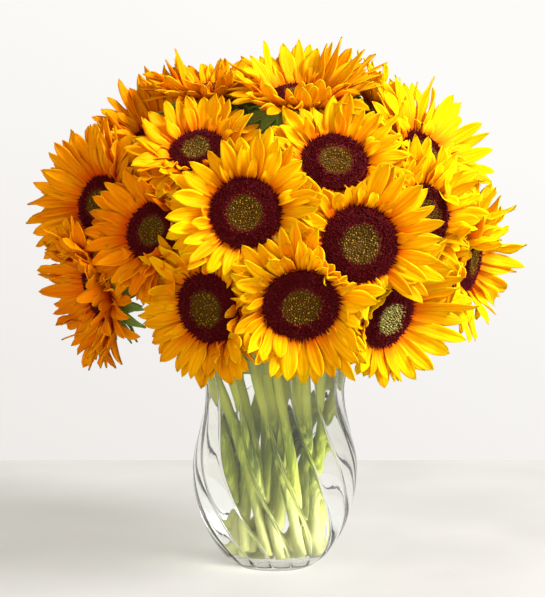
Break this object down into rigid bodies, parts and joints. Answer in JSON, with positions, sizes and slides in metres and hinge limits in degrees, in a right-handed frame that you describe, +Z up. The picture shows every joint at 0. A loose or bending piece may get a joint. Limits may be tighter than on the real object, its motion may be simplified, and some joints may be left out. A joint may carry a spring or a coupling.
{
  "type": "sunflowers in a glass vase",
  "caption": "Round full bunch of cut sunflowers with pointed golden petals and dark domed discs, standing in a waisted clear glass vase with spiral ribs, with water",
  "frame": {"origin": "the middle of the flat underside of the vase's foot", "axes": "+Z runs up the vase, -Y is the front of the bunch and +X its right as seen from the front"},
  "size_m": [0.3964, 0.3503, 0.4394],
  "materials": {
    "glass": "clear polished glass with soft spiral ribs",
    "water": "clear still water",
    "green": "fresh light green stems, darker green cups and bracts with fine hairs",
    "petal": "satin golden yellow petals, grooved along their length, red-orange at the root",
    "disc": "matt maroon florets with an olive green middle"
  },
  "bodies": {
    "root": {"vase": "glass", "water": "water", "stems_1": "green", "stems_2": "green", "stems_3": "green", "stems_4": "green", "stems_5": "green", "stems_6": "green", "stems_7": "green", "stems_8": "green", "petals_01": "petal", "petals_02": "petal", "petals_03": "petal", "petals_04": "petal", "petals_05": "petal", "petals_06": "petal", "petals_07": "petal", "petals_08": "petal", "petals_09": "petal", "petals_10": "petal", "petals_11": "petal", "petals_12": "petal", "petals_13": "petal", "petals_14": "petal", "petals_15": "petal", "petals_16": "petal", "petals_17": "petal", "petals_18": "petal", "petals_19": "petal", "petals_20": "petal", "petals_21": "petal", "petals_22": "petal", "petals_23": "petal", "petals_24": "petal", "petals_25": "petal", "disc_01": "disc", "disc_02": "disc", "disc_03": "disc", "disc_04": "disc", "disc_05": "disc", "disc_06": "disc", "disc_07": "disc", "disc_08": "disc", "disc_09": "disc", "disc_10": "disc", "disc_11": "disc", "disc_12": "disc", "disc_13": "disc", "disc_14": "disc", "disc_15": "disc", "disc_16": "disc", "disc_17": "disc", "disc_18": "disc", "disc_19": "disc", "disc_20": "disc", "disc_21": "disc", "disc_22": "disc", "disc_23": "disc", "disc_24": "disc", "disc_25": "disc"}
  },
  "joints": []
}
